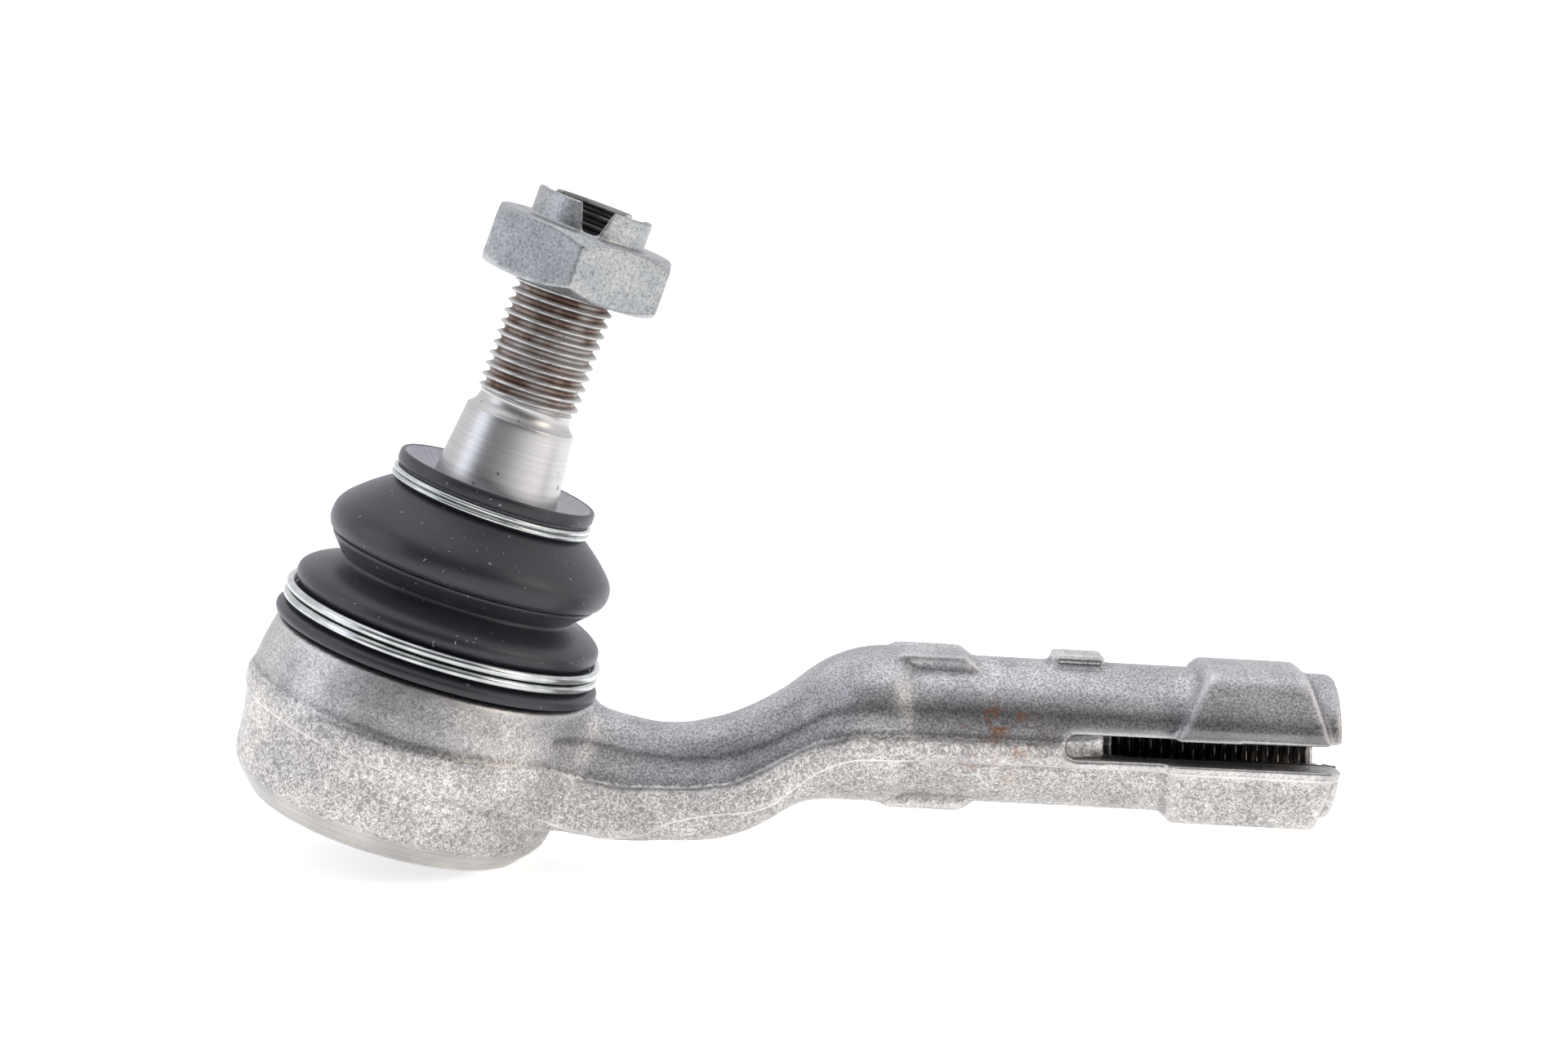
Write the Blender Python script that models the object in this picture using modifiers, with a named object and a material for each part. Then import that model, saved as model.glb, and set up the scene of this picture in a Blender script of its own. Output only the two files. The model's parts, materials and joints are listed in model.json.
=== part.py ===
"""Tie rod end: a forged arm with a ball joint at one end and a slotted, threaded barrel at the other.

Frame: the origin is the centre of the barrel's mouth, +X points out of the mouth along the barrel,
+Z is up and the parting plane of the forging is about XY. The ball joint's housing stands at the
other end, leaning towards the mouth, and its stud leans a little more than its housing.
"""

from math import acos, asin, cos, pi, radians, sin, sqrt, tau

import bmesh
import bpy
from mathutils import Matrix

MM = 0.001

# Frame
BALL_X = -124.5 * MM  # ball centre to the barrel's mouth
HOUSING_LEAN = radians(14.5)  # ball housing axis, from +Z towards +X
STUD_LEAN = radians(16.5)  # ball stud axis at rest

# Barrel and wrench hexagon
BARREL_RADIUS = 10.0 * MM
THREAD_BORE_RADIUS = 6.35 * MM  # M14 x 1.5, at about its pitch line
THREAD_DEPTH = 29.0 * MM
DRILL_RADIUS = 6.1 * MM
DRILL_DEPTH = 45.0 * MM
HEX_FLATS = 22.0 * MM
SLOT_WIDTH = 3.3 * MM
SLOT_LENGTH = 37.6 * MM

# Ball joint
BALL_RADIUS = 13.5 * MM
BALL_FLAT = 12.0 * MM  # ball centre to the flat under the ball
SHELL_GAP = 0.3 * MM
NECK_RADIUS = 7.0 * MM

# Lock nut, M14 x 1.5
NUT_FLATS = 24.0 * MM
NUT_HEIGHT = 8.2 * MM
NUT_SEAT = 59.3 * MM  # ball centre to the nut's lower face
NUT_BORE_RADIUS = 7.15 * MM
CROWN_RADIUS = 8.0 * MM
CROWN_HEIGHT = 3.8 * MM
CROWN_SLOTS = 3

ROUND_STEPS = 48


def clear_scene():
    for obj in list(bpy.data.objects):
        bpy.data.objects.remove(obj, do_unlink=True)


def collection(name, helper=False):
    made = bpy.data.collections.new(name)
    made.hide_render = helper
    bpy.context.scene.collection.children.link(made)
    return made


def material(name, colour, metallic, roughness):
    made = bpy.data.materials.new(name)
    made.use_nodes = True
    shader = made.node_tree.nodes["Principled BSDF"]
    shader.inputs["Base Color"].default_value = (*colour, 1.0)
    shader.inputs["Metallic"].default_value = metallic
    shader.inputs["Roughness"].default_value = roughness
    return made


def add_object(name, mesh, finish=None, parent=None):
    """A part when it has a finish, otherwise a hidden blank or cutter."""
    obj = bpy.data.objects.new(name, mesh)
    if finish:
        PARTS.objects.link(obj)
        obj.data.materials.append(finish)
    else:
        CUTTERS.objects.link(obj)
        obj.hide_render = True
        obj.display_type = "WIRE"
    obj.parent = parent
    return obj


def axis_empty(name, location, lean):
    empty = bpy.data.objects.new(name, None)
    empty.location = location
    empty.rotation_euler = (0.0, lean, 0.0)
    PARTS.objects.link(empty)
    return empty


def turned(name, profile, finish=None, parent=None, closed=False, steps=ROUND_STEPS):
    """A profile of (radius, height) points in mm, run down its outer side, turned about local Z."""
    points = [(r * MM, 0.0, h * MM) for r, h in profile]
    count = len(points)
    edges = [(i, i + 1) for i in range(count - 1)]
    if closed:
        edges.append((count - 1, 0))
    mesh = bpy.data.meshes.new(name)
    mesh.from_pydata(points, edges, [])
    obj = add_object(name, mesh, finish, parent)
    screw = obj.modifiers.new("Turn", "SCREW")
    screw.axis = "Z"
    screw.steps = screw.render_steps = steps
    screw.use_merge_vertices = True
    screw.merge_threshold = 1e-6
    screw.use_smooth_shade = True
    return obj


def arc(radius, start, end, count):
    """Points (radius, height) in mm on a circle about the origin, by polar angle from the +Z axis."""
    angles = [start + (end - start) * i / (count - 1) for i in range(count)]
    return [(radius * sin(a), radius * cos(a)) for a in angles]


def boolean(obj, other, operation):
    modifier = obj.modifiers.new(other.name, "BOOLEAN")
    modifier.operation = operation
    modifier.object = other


def loft(name, rings, finish=None, parent=None):
    """A closed solid through rings of equal point count, each ring going the same way round."""
    shape = bmesh.new()
    loops = [[shape.verts.new(p) for p in ring] for ring in rings]
    for near, far in zip(loops, loops[1:]):
        for i in range(len(near)):
            j = (i + 1) % len(near)
            shape.faces.new((near[i], near[j], far[j], far[i]))
    shape.faces.new(reversed(loops[0]))
    shape.faces.new(loops[-1])
    bmesh.ops.recalc_face_normals(shape, faces=shape.faces)
    mesh = bpy.data.meshes.new(name)
    shape.to_mesh(mesh)
    shape.free()
    return add_object(name, mesh, finish, parent)


def prism(name, outline, low, high, axis, finish=None, parent=None):
    """An outline extruded from low to high along an axis. Its points are (X, Z) along Y, (Y, Z)
    along X, and (X, Y) along Z."""
    places = {
        "X": lambda u, v, along: (along, u, v),
        "Y": lambda u, v, along: (u, along, v),
        "Z": lambda u, v, along: (u, v, along),
    }
    rings = [[places[axis](u, v, along) for u, v in outline] for along in (low, high)]
    return loft(name, rings, finish, parent)


def super_ring(x, top, bottom, half_width, power, count=ROUND_STEPS):
    """A rounded section in the plane X = x: a superellipse between top and bottom, all in mm."""
    centre, half_height = (top + bottom) / 2, (top - bottom) / 2
    ring = []
    for i in range(count):
        c, s = cos(tau * i / count), sin(tau * i / count)
        y = half_width * abs(c) ** (2 / power) * (1 if c > 0 else -1)
        z = half_height * abs(s) ** (2 / power) * (1 if s > 0 else -1)
        ring.append((x * MM, y * MM, (centre + z) * MM))
    return ring


def smooth_step(value, low, high):
    t = min(max((value - low) / (high - low), 0.0), 1.0)
    return t * t * (3 - 2 * t)


def mesh_of(obj):
    """The object's evaluated mesh as a new object in its place, with no modifiers left."""
    bpy.context.view_layer.update()
    graph = bpy.context.evaluated_depsgraph_get()
    mesh = bpy.data.meshes.new_from_object(obj.evaluated_get(graph), depsgraph=graph)
    name, parent, place = obj.name, obj.parent, obj.matrix_world.copy()
    collections = list(obj.users_collection)
    bpy.data.objects.remove(obj, do_unlink=True)
    made = bpy.data.objects.new(name, mesh)
    for owner in collections:
        owner.objects.link(made)
    made.parent = parent
    made.matrix_world = place
    return made


def smooth(obj, angle=radians(35)):
    obj.data.shade_smooth()
    obj.data.set_sharp_from_angle(angle=angle)


clear_scene()
PARTS = collection("tie_rod_end")
CUTTERS = collection("cutters", helper=True)

FORGED = material("shot_blasted_forging", (0.46, 0.45, 0.44), 0.7, 0.55)
STEEL = material("turned_steel", (0.55, 0.54, 0.52), 1.0, 0.3)
ZINC = material("zinc_plated_steel", (0.62, 0.63, 0.6), 1.0, 0.42)
RUBBER = material("black_rubber", (0.02, 0.02, 0.022), 0.0, 0.6)
WIRE = material("bright_spring_steel", (0.72, 0.72, 0.7), 1.0, 0.2)
PLASTIC = material("acetal", (0.85, 0.85, 0.82), 0.0, 0.4)

housing_axis = axis_empty("housing_axis", (BALL_X, 0.0, 0.0), HOUSING_LEAN)
stud_axis = axis_empty("stud_axis", (BALL_X, 0.0, 0.0), STUD_LEAN)

# ---------------------------------------------------------------- housing
# The arm runs from inside the ball housing down through the neck and up into the barrel:
# x, top, bottom, half width and squareness of each section, in mm.
barrel = BARREL_RADIUS / MM
ARM_SECTIONS = [
    (-112.0, 1.6, -14.6, 12.5, 2.4),
    (-103.0, 0.7, -16.0, 10.6, 2.4),
    (-97.0, -0.7, -16.8, 9.2, 2.5),
    (-90.0, -1.6, -17.3, 8.6, 2.5),
    (-84.0, -0.6, -16.8, 8.6, 2.5),
    (-79.0, 1.5, -15.1, 8.8, 2.4),
    (-74.5, 4.4, -12.2, 9.2, 2.3),
    (-71.0, 7.2, -10.4, 9.5, 2.2),
    (-67.0, 9.2, -9.8, 9.8, 2.1),
    (-62.0, barrel, -barrel, barrel, 2.0),
    (-0.8, barrel, -barrel, barrel, 2.0),
    (0.0, barrel - 0.8, 0.8 - barrel, barrel - 0.8, 2.0),
]
housing = loft("housing", [super_ring(*section) for section in ARM_SECTIONS], FORGED)

hex_corner = HEX_FLATS / sqrt(3)
hexagon = [(hex_corner * cos(pi / 3 * i), hex_corner * sin(pi / 3 * i)) for i in range(6)]
wrench_hexagon = prism("wrench_hexagon", hexagon, -26 * MM, 2 * MM, "X")
# Both ends of the hexagon slope back from the parting plane, as the dies leave them.
DRAFTED_SIDE = [(-23.8, 0.0), (-18.0, 12.0), (-3.6, 12.0), (-0.5, 0.0), (-3.0, -12.0), (-22.6, -12.0)]
drafted_side = prism(
    "drafted_side", [(x * MM, z * MM) for x, z in DRAFTED_SIDE], -14 * MM, 14 * MM, "Y"
)
boolean(wrench_hexagon, drafted_side, "INTERSECT")
boolean(housing, wrench_hexagon, "UNION")


def pad(name, x_low, x_high, height, half_width, slope):
    """A raised pad on the barrel, standing on XY with sloped ends: x range and height in mm."""
    outline = [
        (x_low * MM, 6 * MM),
        (x_high * MM, 6 * MM),
        ((x_high - slope) * MM, height * MM),
        ((x_low + slope) * MM, height * MM),
    ]
    return prism(name, outline, -half_width * MM, half_width * MM, "Y")


boolean(housing, pad("identity_pad", -62.5, -49.5, 10.65, 4.5, 2.6), "UNION")
boolean(housing, pad("small_boss", -39.4, -31.6, 11.3, 3.6, 1.2), "UNION")

MOUTH_CHAMFER = 0.6
bore_radius, drill_radius = THREAD_BORE_RADIUS / MM, DRILL_RADIUS / MM
BORE_PROFILE = [
    (0.0, 1.0),
    (bore_radius + MOUTH_CHAMFER + 1.0, 1.0),
    (bore_radius, -MOUTH_CHAMFER),
    (bore_radius, -THREAD_DEPTH / MM),
    (drill_radius, -THREAD_DEPTH / MM - 0.5),
    (drill_radius, -DRILL_DEPTH / MM),
    (0.0, -DRILL_DEPTH / MM - 3.0),
]
bore = turned("bore", BORE_PROFILE, steps=32)
bore.rotation_euler = (0.0, pi / 2, 0.0)
boolean(housing, bore, "DIFFERENCE")

half_slot = SLOT_WIDTH / 2
end_x = -SLOT_LENGTH + half_slot
slot_outline = [(3 * MM, half_slot), (3 * MM, -half_slot)]
for i in range(9):
    angle = -pi / 2 - pi * i / 8
    slot_outline.append((end_x + half_slot * cos(angle), half_slot * sin(angle)))
slot = prism("clamp_slot", slot_outline, -16 * MM, -0.5 * MM, "Y")
boolean(housing, slot, "DIFFERENCE")

BALL_HOUSING_PROFILE = [
    (0.0, 12.0),
    (18.6, 12.0),
    (19.2, 11.5),
    (19.2, 10.6),
    (18.2, 9.9),
    (18.2, 6.3),
    (21.4, 6.3),
    (22.3, 5.0),
    (23.2, 2.0),
    (23.6, -0.6),
    (23.6, -3.0),
    (23.1, -5.0),
    (22.4, -8.0),
    (22.3, -12.0),
    (22.0, -13.6),
    (21.2, -14.8),
    (19.8, -16.2),
    (19.2, -17.1),
    (18.4, -17.6),
    (0.0, -17.6),
]
boolean(housing, turned("ball_housing_blank", BALL_HOUSING_PROFILE, parent=housing_axis), "UNION")

CAVITY_PROFILE = [
    (0.0, 12.6),
    (15.6, 12.6),
    (15.3, 12.0),
    (13.4, 8.6),
    (13.4, 6.8),
    (16.2, 6.8),
    (16.2, -14.4),
    (17.5, -14.4),
    (17.5, -16.75),
    (15.6, -16.75),
    (15.6, -18.2),
    (0.0, -18.2),
]
boolean(housing, turned("ball_cavity", CAVITY_PROFILE, parent=housing_axis), "DIFFERENCE")
housing = mesh_of(housing)
smooth(housing)

# ---------------------------------------------------------------- inside the ball housing
shell_inner = (BALL_RADIUS + SHELL_GAP) / MM
SHELL_TOP, SHELL_BOTTOM, SHELL_OUTER, SHELL_OPENING = 6.4, -14.1, 15.9, 7.0
shell_profile = [(SHELL_OUTER, SHELL_TOP), (SHELL_OUTER, SHELL_BOTTOM), (SHELL_OPENING, SHELL_BOTTOM)]
shell_profile += arc(
    shell_inner, pi - asin(SHELL_OPENING / shell_inner), acos(SHELL_TOP / shell_inner), 12
)
turned("bearing_shell", shell_profile, PLASTIC, housing_axis, closed=True, steps=32)

PLATE_PROFILE = [
    (0.0, -15.3),
    (9.0, -15.3),
    (11.0, -14.7),
    (17.2, -14.7),
    (17.2, -16.4),
    (11.6, -16.4),
    (9.4, -17.0),
    (0.0, -17.0),
]
turned("closing_plate", PLATE_PROFILE, STEEL, housing_axis, steps=40)

# ---------------------------------------------------------------- ball stud
TAPER_TOP, TAPER_BOTTOM = (7.45, 41.0), (8.78, 29.4)
ball_radius, neck_radius = BALL_RADIUS / MM, NECK_RADIUS / MM
stud_profile = [
    (0.0, 66.5),
    (5.7, 66.5),
    (6.85, 65.3),
    (6.85, 43.7),
    (6.3, 43.0),
    (6.3, 42.1),
    (7.1, 41.3),
    TAPER_TOP,
    TAPER_BOTTOM,
    (8.8, 26.6),
    (8.2, 24.8),
    (neck_radius, 21.0),
]
stud_profile += arc(ball_radius, asin(neck_radius / ball_radius), acos(-BALL_FLAT / BALL_RADIUS), 14)
stud_profile.append((0.0, -BALL_FLAT / MM))
turned("ball_stud", stud_profile, STEEL, stud_axis, steps=40)

# ---------------------------------------------------------------- dust boot
# Down the outer side from the collar's rim to the bead, then up the inner side.
BOOT_PROFILE = [
    (13.6, 32.0),
    (13.75, 31.5),
    (13.6, 30.4),
    (12.7, 30.2),
    (12.7, 28.15),
    (13.7, 28.1),
    (16.4, 25.7),
    (18.9, 23.6),
    (19.45, 22.4),
    (19.4, 20.5),
    (18.8, 19.3),
    (16.8, 17.3),
    (16.2, 16.5),
    (17.0, 15.7),
    (19.6, 14.5),
    (20.9, 13.4),
    (21.1, 12.5),
    (20.5, 11.5),
    (20.45, 8.55),
    (21.6, 8.5),
    (22.5, 7.9),
    (22.4, 7.1),
    (21.6, 6.65),
    (18.55, 6.65),
    (18.55, 9.7),
    (19.55, 10.4),
    (19.55, 12.3),
    (18.0, 13.4),
    (15.6, 15.3),
    (14.5, 16.5),
    (15.4, 17.7),
    (17.5, 19.9),
    (17.8, 21.6),
    (17.5, 22.5),
    (15.6, 24.3),
    (12.4, 27.0),
    (9.15, 27.2),
    (9.15, 29.2),
    (12.9, 31.9),
]
boot = mesh_of(turned("dust_boot", BOOT_PROFILE, RUBBER, housing_axis, closed=True, steps=40))
# The rubber follows the stud: the boot bends from the housing's axis to the stud's between its
# lower ring and its collar.
for vertex in boot.data.vertices:
    bend = smooth_step(vertex.co.z, 12 * MM, 27 * MM) * (STUD_LEAN - HOUSING_LEAN)
    vertex.co = Matrix.Rotation(bend, 3, "Y") @ vertex.co
smooth(boot)

UPPER_RING_PROFILE = [
    (13.8, 29.85),
    (14.15, 29.5),
    (14.15, 28.8),
    (13.8, 28.5),
    (13.05, 28.5),
    (13.05, 29.85),
]
turned("boot_ring_upper", UPPER_RING_PROFILE, WIRE, stud_axis, closed=True)

# ---------------------------------------------------------------- lower boot ring
RING_RADIUS, RING_WIRE, RING_LOW, RING_PITCH = 21.45 * MM, 1.2 * MM, 9.45 * MM, 1.55 * MM
RING_TURNS, RING_POINTS, RING_START = 1.94, 78, radians(70)
ring_curve = bpy.data.curves.new("boot_ring_lower", "CURVE")
ring_curve.dimensions = "3D"
ring_curve.bevel_depth = RING_WIRE / 2
ring_curve.bevel_resolution = 2
ring_curve.use_fill_caps = True
spline = ring_curve.splines.new("POLY")
spline.points.add(RING_POINTS - 1)
for i, point in enumerate(spline.points):
    turn = RING_TURNS * i / (RING_POINTS - 1)
    height = RING_LOW + RING_PITCH * smooth_step(turn, 0.82, 1.12)
    around = RING_START + tau * turn
    point.co = (RING_RADIUS * cos(around), RING_RADIUS * sin(around), height, 1.0)
lower_ring = bpy.data.objects.new("boot_ring_lower", ring_curve)
lower_ring.data.materials.append(WIRE)
lower_ring.parent = housing_axis
PARTS.objects.link(lower_ring)

# ---------------------------------------------------------------- lock nut
NUT_TURN = radians(1.5)
SLOT_TURN = radians(4)
low, high = NUT_SEAT / MM, (NUT_SEAT + NUT_HEIGHT) / MM
crown_top, crown_radius = high + CROWN_HEIGHT / MM, CROWN_RADIUS / MM
corner = NUT_FLATS / sqrt(3)
nut_angles = [NUT_TURN + pi / 6 + pi / 3 * i for i in range(6)]
nut_hexagon = [(corner * cos(a), corner * sin(a)) for a in nut_angles]
nut = prism("lock_nut", nut_hexagon, NUT_SEAT, NUT_SEAT + NUT_HEIGHT, "Z", ZINC, stud_axis)

# Both ends of the hexagon are turned to a 30 degree chamfer.
land = NUT_FLATS / MM / 2 - 0.4
outside = corner / MM + 0.2
chamfer = (outside - land) * 0.577
CHAMFER_PROFILE = [
    (0.0, high + 0.01),
    (land, high + 0.01),
    (outside, high - chamfer),
    (outside, low + chamfer),
    (land, low - 0.01),
    (0.0, low - 0.01),
]
boolean(nut, turned("nut_chamfers", CHAMFER_PROFILE, parent=stud_axis), "INTERSECT")

CROWN_PROFILE = [
    (0.0, crown_top),
    (crown_radius - 0.4, crown_top),
    (crown_radius, crown_top - 0.4),
    (crown_radius, high - 3.0),
    (0.0, high - 3.0),
]
boolean(nut, turned("nut_crown", CROWN_PROFILE, parent=stud_axis), "UNION")

nut_bore_radius = NUT_BORE_RADIUS / MM
NUT_BORE_PROFILE = [
    (0.0, crown_top + 1.0),
    (nut_bore_radius, crown_top + 1.0),
    (nut_bore_radius, low + 0.6),
    (nut_bore_radius + 1.6, low - 1.0),
    (0.0, low - 1.0),
]
boolean(nut, turned("nut_bore", NUT_BORE_PROFILE, parent=stud_axis), "DIFFERENCE")

crown_slot = [(-1.0, high), (1.0, high), (2.6, crown_top + 1.0), (-2.6, crown_top + 1.0)]
for i in range(CROWN_SLOTS):
    outline = [(x * MM, z * MM) for x, z in crown_slot]
    cut = prism(f"crown_slot_{i}", outline, -11 * MM, -2 * MM, "Y", parent=stud_axis)
    cut.rotation_euler = (0.0, 0.0, SLOT_TURN + tau * i / CROWN_SLOTS)
    boolean(nut, cut, "DIFFERENCE")
nut = mesh_of(nut)
smooth(nut)
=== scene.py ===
"""Tie rod end: the finished look of the forged arm, its ball stud, rubber boot, rings and nut.

Lengths are in mm until a mesh is made. Row frame: the origin is the centre of the barrel's mouth, +X
points out of the mouth along the barrel, and +Z is the side the stud points to.
"""

import json
from math import acos, asin, atan2, cos, pi, radians, sin, sqrt, tau

import bpy
import numpy as np
from mathutils import Matrix, Vector


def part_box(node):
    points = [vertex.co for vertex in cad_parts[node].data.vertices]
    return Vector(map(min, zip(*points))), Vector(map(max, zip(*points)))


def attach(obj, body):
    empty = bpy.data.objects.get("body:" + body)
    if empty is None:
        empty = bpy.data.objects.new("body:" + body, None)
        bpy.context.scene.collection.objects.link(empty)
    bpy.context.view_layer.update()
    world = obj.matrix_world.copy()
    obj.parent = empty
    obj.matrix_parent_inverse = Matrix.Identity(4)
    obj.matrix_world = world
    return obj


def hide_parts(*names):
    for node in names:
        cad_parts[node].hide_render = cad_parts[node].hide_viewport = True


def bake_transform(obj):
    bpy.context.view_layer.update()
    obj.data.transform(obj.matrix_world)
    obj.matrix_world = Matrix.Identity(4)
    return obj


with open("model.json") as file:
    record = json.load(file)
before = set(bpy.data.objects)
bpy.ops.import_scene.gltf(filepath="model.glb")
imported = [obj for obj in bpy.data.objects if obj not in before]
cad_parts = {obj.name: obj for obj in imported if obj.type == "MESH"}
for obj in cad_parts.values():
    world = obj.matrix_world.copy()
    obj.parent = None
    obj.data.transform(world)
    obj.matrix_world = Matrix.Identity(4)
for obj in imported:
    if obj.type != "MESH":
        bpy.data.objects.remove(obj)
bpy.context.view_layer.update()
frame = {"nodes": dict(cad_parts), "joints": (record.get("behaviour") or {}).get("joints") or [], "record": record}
scene = bpy.context.scene

# ---------------------------------------------------------------- camera and studio
# A small part on a white table under broad soft lamps. The room behind the camera is dim, and that
# gives the bright metal its grey side bands.
floor_height = min(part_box(node)[0].z for node in frame["nodes"]) - 0.0001

EYE = (-0.09506, -0.38967, 0.08531)
LEFT_TURN, LOOK_DOWN, ROLL = radians(2.7), radians(8.5), radians(3.63)
ahead = Vector((sin(LEFT_TURN) * cos(LOOK_DOWN), cos(LEFT_TURN) * cos(LOOK_DOWN), -sin(LOOK_DOWN)))
level_right = Vector((cos(LEFT_TURN), -sin(LEFT_TURN), 0.0))
level_up = level_right.cross(ahead)
right = cos(ROLL) * level_right + sin(ROLL) * level_up
up = cos(ROLL) * level_up - sin(ROLL) * level_right
lens = bpy.data.cameras.new("camera")
lens.lens, lens.sensor_width, lens.clip_start = 66.8, 36.0, 0.01
camera = bpy.data.objects.new("camera", lens)
camera.matrix_world = Matrix.Translation(EYE) @ Matrix((right, up, -ahead)).transposed().to_4x4()
scene.collection.objects.link(camera)
scene.camera = camera
scene.view_settings.view_transform = "Standard"


def linear(hex_colour):
    """An sRGB hex colour as the linear RGBA that a shader reads."""
    parts = [int(hex_colour[i : i + 2], 16) / 255 for i in (1, 3, 5)]
    return [c / 12.92 if c <= 0.04045 else ((c + 0.055) / 1.055) ** 2.4 for c in parts] + [1.0]


def feed(tree, target, links):
    """Links into a node: (input, socket or node), where a node stands for its first output."""
    for key, source in links:
        if isinstance(source, bpy.types.Node):
            source = source.outputs[0]
        tree.links.new(source, target.inputs[key])


def node(tree, kind, settings=(), links=()):
    """A new node with its settings, (attribute or input, value), and its links. A hex colour becomes
    linear, and "stops" are a colour ramp's stops: (place, hex colour or grey level)."""
    made = tree.nodes.new("ShaderNode" + kind)
    for key, value in settings:
        if key == "stops":
            points = made.color_ramp.elements
            while len(points) < len(value):
                points.new(0.5)
            for point, (place, tone) in zip(points, value):
                point.position = place
                point.color = linear(tone) if isinstance(tone, str) else (tone, tone, tone, 1.0)
        elif isinstance(key, str) and hasattr(made, key) and key not in made.inputs:
            setattr(made, key, value)
        else:
            made.inputs[key].default_value = linear(value) if isinstance(value, str) else value
    feed(tree, made, links)
    return made


def soft_lamp(name, place, target, width, height, watts, tint):
    """A rectangular soft box at a place, turned to face a target, in metres and watts."""
    lamp = bpy.data.lights.new(name, "AREA")
    lamp.shape, lamp.size, lamp.size_y, lamp.energy = "RECTANGLE", width, height, watts
    lamp.color = linear(tint)[:3]
    holder = bpy.data.objects.new(name, lamp)
    turn = (Vector(target) - Vector(place)).to_track_quat("-Z", "Y").to_matrix().to_4x4()
    holder.matrix_world = Matrix.Translation(place) @ turn
    scene.collection.objects.link(holder)


CENTRE = (-0.08, 0.0, 0.01)
soft_lamp("overhead_lamp", (-0.15, 0.1, 0.9), CENTRE, 0.9, 0.7, 1.2, "#f4f6ff")
soft_lamp("right_lamp", (0.75, -0.35, 0.45), CENTRE, 0.5, 0.5, 2.0, "#fff4e6")
soft_lamp("left_lamp", (-0.95, -0.3, 0.4), CENTRE, 0.5, 0.6, 1.4, "#e8efff")

world = bpy.data.worlds.new("studio")
scene.world = world
world.use_nodes = True
sky = world.node_tree
sky.nodes.clear()
way = node(sky, "SeparateXYZ", links=[(0, node(sky, "TexCoord").outputs["Generated"])])
# How far a direction points out of the table's front, towards the dim side of the room.
front = node(sky, "Math", [("operation", "MULTIPLY"), (1, -1.0)], [(0, way.outputs["Y"])])
by_height = [(0.0, 1.0), (0.7, 0.92), (0.93, 0.0), (1.0, 0.0)]
low_down = node(sky, "ValToRGB", [("stops", by_height)], [("Fac", way.outputs["Z"])])
by_front = [(0.0, 0.0), (0.12, 0.0), (0.55, 1.0), (1.0, 1.0)]
towards = node(sky, "ValToRGB", [("stops", by_front)], [("Fac", front)])
dim = node(sky, "Math", [("operation", "MULTIPLY")], [(0, low_down), (1, towards)])
tone = node(sky, "ValToRGB", [("stops", [(0.0, "#fbfbff"), (1.0, "#505156")])], [("Fac", dim)])
light = node(sky, "Background", [("Strength", 1.05)], [("Color", tone)])
node(sky, "OutputWorld", links=[("Surface", light)])

table = bpy.data.meshes.new("table")
corners = [(-4, -4, floor_height), (4, -4, floor_height), (4, 4, floor_height), (-4, 4, floor_height)]
table.from_pydata(corners, [], [(0, 1, 2, 3)])
table_top = bpy.data.objects.new("table", table)
scene.collection.objects.link(table_top)
paper = bpy.data.materials.new("white_table_paper")
paper.use_nodes = True
paper_shader = paper.node_tree.nodes["Principled BSDF"]
paper_shader.inputs["Base Color"].default_value = linear("#f7f7f7")
paper_shader.inputs["Roughness"].default_value = 0.9
paper_shader.inputs["Emission Color"].default_value = linear("#ffffff")
paper_shader.inputs["Emission Strength"].default_value = 0.62
table.materials.append(paper)

# ---------------------------------------------------------------- forged housing
# The arm, barrel and ball housing are one drop forging in medium carbon steel, trimmed along its
# parting line and shot blasted to a light, speckled grey. The bore, slot and rim are machined.
MM = 0.001
joints = {joint["name"]: joint for joint in frame["joints"]}
mounts = {mount["name"]: mount for mount in frame["record"]["mounts"]}
ball = np.array(joints["stud_turn"]["pos_m"]) / MM
housing_up = -np.array(mounts["closing_plate_face"]["axis"])
stud_up = np.array(joints["stud_turn"]["axis"])


def join(a, b, fillet):
    """Union of two fields, a + b rounded where they meet: the lesser, less a parabola in their gap."""
    mix = np.clip(0.5 + 0.5 * (b - a) / fillet, 0.0, 1.0)
    return b + (a - b) * mix - fillet * mix * (1.0 - mix)


def common(a, b, rounding):
    """Where both fields are inside, with the edge between them rounded."""
    return -join(-a, -b, rounding)


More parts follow.
